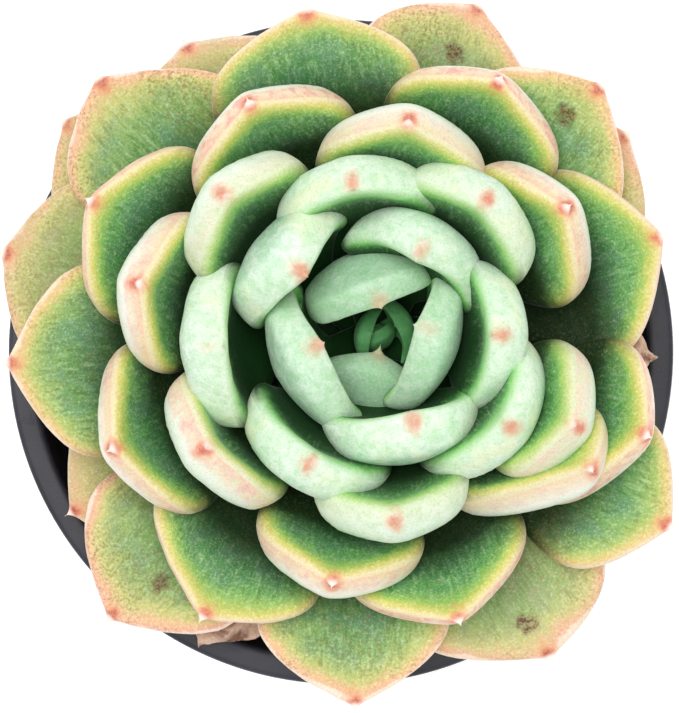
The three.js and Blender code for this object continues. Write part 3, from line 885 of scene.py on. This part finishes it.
# Colours from the crest inwards over the upper face, and outwards over the bevel below it, by stage of
# growth. Each stop is its distance from the crest in millimetres.
REACH_IN = 12.0
# the upper face darkens inwards from the crest: partly its own greener skin, partly painted shade down in the
# cup
UPPER = {
    "young": [
        (0, rgb(206, 236, 198)), (0.5, rgb(178, 226, 160)), (1.2, rgb(132, 206, 112)),
        (2.4, rgb(68, 152, 62)), (5.0, rgb(26, 88, 28)),
    ],
    "grown": [
        (0, rgb(236, 220, 174)), (0.3, rgb(226, 210, 132)), (0.9, rgb(200, 206, 98)),
        (1.8, rgb(148, 196, 94)), (3.2, rgb(102, 172, 90)), (6, rgb(64, 140, 78)), (11, rgb(28, 94, 42)),
    ],
    "old": [
        (0, rgb(250, 222, 210)), (0.3, rgb(236, 172, 150)), (0.9, rgb(232, 184, 142)),
        (2.0, rgb(206, 202, 124)), (4.5, rgb(150, 182, 100)), (8, rgb(92, 152, 84)), (12, rgb(58, 124, 58)),
    ],
}
# painted shade: the near-black greens of the upper face towards the stem, where the leaves shade one another
SHADE_GREENS = {"young": rgb(12, 56, 14), "grown": rgb(6, 44, 10), "old": rgb(12, 62, 14)}
# the grown bevel's white outer band: partly the white edge of the leaf, partly a painted highlight along its
# outer rim
BEVEL = {
    "young": [
        (0, rgb(206, 236, 202)), (1.0, rgb(210, 238, 206)), (3.6, rgb(206, 236, 206)),
        (6.0, rgb(164, 208, 180)),
    ],
    "grown": [
        (0, rgb(240, 220, 180)), (0.4, rgb(240, 210, 164)), (1.2, rgb(244, 228, 194)),
        (2.2, rgb(248, 238, 216)), (3.2, rgb(254, 252, 244)), (7.5, rgb(160, 196, 150)),
    ],
    "old": [
        (0, rgb(250, 226, 214)), (0.4, rgb(240, 190, 166)), (3.0, rgb(228, 192, 158)),
        (6.0, rgb(160, 176, 116)),
    ],
}
MARK_STRENGTH = [(-1, 0), (0, 0.3), (1, 0.4), (3, 0.6), (5, 0.75), (8, 0.85), (20, 1)]
# How much a grown leaf blushes: the youngest of them are still white with bloom
FULL_BLUSH = 0.95
BLUSHES_AFTER = 20
BLUSH = {14: 0.2, 15: 0.6, 16: 0.8, 17: 0.45, 18: 0.4, 19: 0.6, 20: 0.7, 21: 0.6, 24: 0.55}


def leaf_finish(name, roughness, sheen):
    """The skin of a leaf under its wax bloom. Everything that changes with age reads the age of the leaf."""
    material, nodes, shader = new_finish(name)

    def read(label):
        return nodes.add("ShaderNodeAttribute", {"attribute_name": label}, {}, "Fac")

    labels = ("rim", "inward", "spine", "mark", "scar", "age", "aside", "blush", "mark strength")
    rim, inward, spine, mark, scar, age, aside, pinkness, strength = map(read, labels)
    place = nodes.place()
    grain = nodes.noise(place, 3000.0, 2.0)
    speck = nodes.noise(place, 2300.0, 1.5, 0.6)
    mottle = nodes.noise(place, 700.0, 4.0, 0.6)
    cloud = nodes.noise(place, 240.0, 3.0, 0.3)
    drift = nodes.noise(place, 110.0, 2.0)
    # fine streaks that run along the leaf, as its veins do
    along_leaf = nodes.add("ShaderNodeCombineXYZ", {}, {"X": aside * 1.7, "Y": inward * 0.35, "Z": age * 9})
    streak = nodes.noise(along_leaf, 1.0, 4.0, 0.8)
    grown = age.smooth(9, 20)
    old = age.smooth(27, 37)

    def staged(stops, distance):
        young_ramp, grown_ramp, old_ramp = (
            nodes.add(
                "ShaderNodeValToRGB",
                {"stops": [(mm / REACH_IN, colour) for mm, colour in stops[stage]]},
                {"Fac": distance / REACH_IN},
                "Color",
            )
            for stage in ("young", "grown", "old")
        )
        return nodes.mix(old, nodes.mix(grown, young_ramp, grown_ramp), old_ramp)

    wander = (mottle - 0.5) * 1.0 + (cloud - 0.5) * 1.6
    is_upper = rim.smooth(-0.15, 0.15)
    far_in = wander * (0.4 + 1.2 * rim.smooth(0.3, 2.5)) + (drift - 0.5) * 3 * old
    inner = staged(UPPER, rim + far_in)
    # painted shade: greener and darker towards the stem, where no light or bloom reaches
    shade_green = nodes.mix(old, nodes.mix(grown, SHADE_GREENS["young"], SHADE_GREENS["grown"]), SHADE_GREENS["old"])
    depth = (inward + wander * 2).smooth(4 + 2 * grown + 5 * old, 12 + 3 * grown + 9 * old)
    # bright and dark streaks on the green, and a thin bloom over it
    inner = nodes.mix(streak.smooth(0.5, 0.7) * rim.smooth(1.2, 3.0) * 0.4, inner, rgb(188, 222, 168))
    inner = nodes.mix(streak.smooth(0.48, 0.34) * rim.smooth(1.2, 3.0) * 0.4, inner, rgb(48, 104, 44))
    inner = nodes.mix(
        cloud.smooth(0.42, 0.66) * grown * rim.smooth(2.0, 4.5) * 0.5, inner, rgb(104, 156, 124)
    )
    inner = nodes.mix(depth, inner, shade_green)
    # glittering cells, thickest near the crest of the oldest leaves, some of them brown
    cells = (
        speck.smooth(0.53, 0.7) * grown * (0.1 + 0.3 * rim.smooth(9, 1.5))
        * (0.4 + 0.8 * cloud) * (1 - depth * 0.8)
    )
    inner = nodes.mix(cells, inner, rgb(240, 240, 176))
    brown = speck.smooth(0.5, 0.34) * (drift.smooth(0.42, 0.6) * old * 0.55 + 0.1 * grown)
    inner = nodes.mix(brown, inner, rgb(140, 106, 58))
    # the oldest leaves have paled to olive and straw
    inner = nodes.mix(age.smooth(35, 42) * (0.3 + 0.4 * cloud.smooth(0.35, 0.65)), inner, rgb(196, 184, 128))
    outer = staged(BEVEL, wander * 0.5 - rim)
    # blush, in soft blotches on the bevel, between its white edges
    blotch = mottle.smooth(0.35, 0.65) * 0.5 + cloud.smooth(0.4, 0.64) * 0.8
    blush = (0.1 + blotch) * pinkness * (-rim).smooth(0.0, 0.5) * (-rim).smooth(4.0, 2.2)
    pink = nodes.mix(mottle.smooth(0.36, 0.66), rgb(252, 204, 172), rgb(232, 148, 134))
    outer = nodes.mix((blush * 0.9).clamped(), outer, pink)
    # farina: a white powder on the bevel, rubbed off in patches
    out_of_heart = age.smooth(-1, 6)
    farina = (cloud.smooth(0.3, 0.7) * 0.3 + mottle.smooth(0.4, 0.66) * 0.35) * (1 - grown * 0.65)
    # the leaves of the heart darker green: partly their barer skin, partly painted shade down in the heart
    outer = nodes.mix((1 - out_of_heart) * 0.75, outer, rgb(122, 184, 128))
    farina = farina * (0.3 + 0.7 * out_of_heart)
    outer = nodes.mix(farina, outer, rgb(248, 255, 244))
    outer = nodes.mix((1 - mottle).smooth(0.5, 0.7) * 0.3 * (1 - grown), outer, rgb(168, 218, 158))
    warm = drift.smooth(0.45, 0.62) * cloud.smooth(0.4, 0.6) * age.smooth(2, 8) * (1 - grown)
    outer = nodes.mix(warm * 0.5, outer, rgb(236, 240, 190))
    colour = nodes.mix(is_upper, outer, inner)
    lit = 1 - depth * is_upper
    colour = nodes.mix(grain.smooth(0.5, 0.75) * 0.22 * lit, colour, rgb(255, 255, 248))
    colour = nodes.mix(grain.smooth(0.5, 0.25) * 0.2 * lit, colour, rgb(96, 150, 84))
    # folded away in the heart, the bud stays dark: its own darker green, with painted shade over it
    bud_green_and_shade = nodes.mix(mottle, rgb(36, 122, 44), rgb(94, 172, 102))
    colour = nodes.mix(age.smooth(-0.2, -0.9) * 0.85, colour, bud_green_and_shade)
    # the mark round the spine, with a redder core, then the spine itself and the scar
    ragged = (nodes.noise(place, 620.0, 3.0, 0.8) - 0.5) * 2.6
    near = (mark + ragged).smooth(2.9, 0.4) * strength
    colour = nodes.mix(near * 0.8, colour, rgb(234, 150, 112))
    core = (mark + ragged * 0.5).smooth(1.9, 0.6) * strength * (0.5 + 0.5 * speck.smooth(0.35, 0.6))
    colour = nodes.mix(
        core * (0.5 + 0.35 * grown), colour, nodes.mix(old, rgb(204, 84, 76), rgb(164, 62, 52))
    )
    colour = nodes.mix(spine.smooth(0.05, 0.5) * age.smooth(8, 18), colour, rgb(252, 232, 220))
    rust = (scar + (mottle - 0.5) * 3).smooth(2.2, 0.8) * (0.4 + 0.6 * speck.smooth(0.4, 0.6))
    colour = nodes.mix(rust, colour, rgb(104, 66, 48))
    nodes.fill(shader, {
        "Base Color": colour,
        "Roughness": roughness + (grain - 0.5) * 0.2,
        "Specular IOR Level": 0.35,
        "Sheen Weight": sheen,
        "Sheen Roughness": 0.35,
        "Subsurface Weight": 0.12,
        "Subsurface Radius": (1.0, 1.4, 0.7),
        "Subsurface Scale": 0.0016,
        "Normal": nodes.bump(grain * 0.5 + mottle, 0.35, 0.0004),
    })
    return material


finishes = {
    "leaf_young": leaf_finish("leaf_young", 0.62, 0.12),
    "leaf_grown": leaf_finish("leaf_grown", 0.55, 0.12),
    "leaf_old": leaf_finish("leaf_old", 0.5, 0.08),
}

# A withered leaf has dried to brown paper.
dry_leaf, nodes, shader = new_finish("leaf_withered")
place = nodes.place()
patch = nodes.noise(place, 260.0, 5.0, 0.8)
fine = nodes.noise(place, 1700.0, 3.0)
colour = nodes.mix(patch.smooth(0.35, 0.65), rgb(120, 84, 66), rgb(206, 178, 156))
colour = nodes.mix(fine.smooth(0.5, 0.8) * 0.5, colour, rgb(236, 214, 196))
nodes.fill(shader, {
    "Base Color": colour,
    "Roughness": 0.8,
    "Normal": nodes.bump(patch + fine * 0.4, 0.9, 0.0009),
})
finishes["leaf_withered"] = dry_leaf
LEAF_FINENESS = {"Stations": 44, "Sides": 64, "Spine Rings": 8}
slot_of = {part["node"]: part["material_slot"] for part in record["subparts"]}


def grow(name, age, finish, fineness):
    """One leaf as a mesh object, from the laws of growth."""
    cx, cy = stem_centre(age)
    bearing = math.radians(FIRST_BEARING - DIVERGENCE * age + TURN.get(age, 0))
    share = WITHERED_SHARE if age in WITHERED else 1.0
    foot = Vector((law(STEM_RADIUS, age) + CLEARANCE, 0, node_height(age)))
    tip = Vector((law(REACH, age) + LONGER.get(age, 0), 0, law(TIP_HEIGHT, age)))
    span = (tip - foot).length
    bow = Vector((4 / 3 * BOWED.get(age, 0), 0, 0))

    def away(slope, pull):
        return Vector((math.cos(math.radians(slope)), 0, math.sin(math.radians(slope)))) * pull * span

    from_foot = foot + away(law(BASE_SLOPE, age), law(BASE_PULL, age)) + bow
    to_tip = tip - away(law(TIP_SLOPE, age), law(TIP_PULL, age)) + bow
    way = (tip - to_tip).normalized()
    lean = math.radians(law(SPINE_LEAN, age))
    spine_way = way * math.cos(lean) + Vector((way.z, 0, -way.x)) * math.sin(lean)
    mark = tip + Vector((way.z, 0, -way.x)) * law(MARK_OUT, age)
    sway = SWAY.get(age, 0)
    scar_in, scar_aside = SCARS.get(age, (FAR_AWAY, 0))
    seed_mesh = bpy.data.meshes.new(name)
    return leaf.applied(add_object(name, seed_mesh), {
        "Foot": foot, "Foot Handle": from_foot, "Tip Handle": to_tip, "Tip": tip,
        "Spine": spine_way * (law(SPINE_LENGTH, age) + SPINE_ROOT),
        "Mark": Vector((
            cx + mark.x * math.cos(bearing) - sway * math.sin(bearing),
            cy + mark.x * math.sin(bearing) + sway * math.cos(bearing),
            MIX_LEVEL + mark.z,
        )),
        "Centre": Vector((cx, cy, MIX_LEVEL)), "Bearing": bearing,
        "Half Width": (law(WIDTH, age) + WIDER.get(age, 0)) / 2 * share,
        "Thickness": law(THICKNESS, age) * share,
        "Cup": float(law(CUP_RADIUS, age)), "Keel": float(law(KEEL, age)),
        "Fullness": FULLNESS + BLUNTER.get(age, 0), "Skew": float(SKEW.get(age, 0)), "Sway": float(sway),
        "Age": float(age), "Wrinkle": WITHERED_WRINKLE if age in WITHERED else 0.0,
        "Blush": float(BLUSH.get(age, FULL_BLUSH if age > BLUSHES_AFTER else 0.0)),
        "Mark Strength": float(law(MARK_STRENGTH, age)),
        "Scar In": float(scar_in), "Scar Aside": float(scar_aside),
        **fineness, "Finish": finish,
    })


for age in range(LEAVES):
    node = f"leaf_{age:02d}"
    piece = grow(f"{node}_visual", age, finishes[slot_of[node]], LEAF_FINENESS)
    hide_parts(node)
    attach(piece, "root")
    slot_of[node]

# The bud: the four smallest leaves, still folded together on the growing point, a small dome on the stem's
# tip. They are grown as the other leaves are, and joined to the dome.
BUD_LEAVES = 4
BUD_RADIUS = 1.6
BUD_HEIGHT = 2.4
DOME_SIDES = 32
DOME_STEPS = 8
BUD_FINENESS = {"Stations": 24, "Sides": 32, "Spine Rings": 8}
dome_foot = YOUNGEST_NODE + CLEARANCE
dome = [(0, 0), (BUD_RADIUS, 0)]
for step in range(1, DOME_STEPS):
    slope = math.pi / 2 * step / DOME_STEPS
    dome.append((BUD_RADIUS * math.cos(slope), BUD_HEIGHT * math.sin(slope)))
dome.append((0, BUD_HEIGHT))
bud = add_object("bud_visual", turned("bud_visual", dome, DOME_SIDES))
bud.data.transform(Matrix.Translation(Vector((*STEM_TIP, MIX_LEVEL + dome_foot)) * MM))
bud.data.materials.append(finishes["leaf_young"])
for label, value in {
    "age": -1.0, "mark": FAR_AWAY, "scar": FAR_AWAY, "inward": FAR_AWAY, "rim": FAR_AWAY,
}.items():
    bud.data.attributes.new(label, "FLOAT", "POINT").data.foreach_set(
        "value", [value] * len(bud.data.vertices)
    )
parts = [grow(f"bud_leaf_{i}", -1 - i, finishes["leaf_young"], BUD_FINENESS) for i in range(BUD_LEAVES)]
with bpy.context.temp_override(active_object=bud, selected_editable_objects=[bud, *parts]):
    bpy.ops.object.join()
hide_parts("bud")
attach(bud, "root")
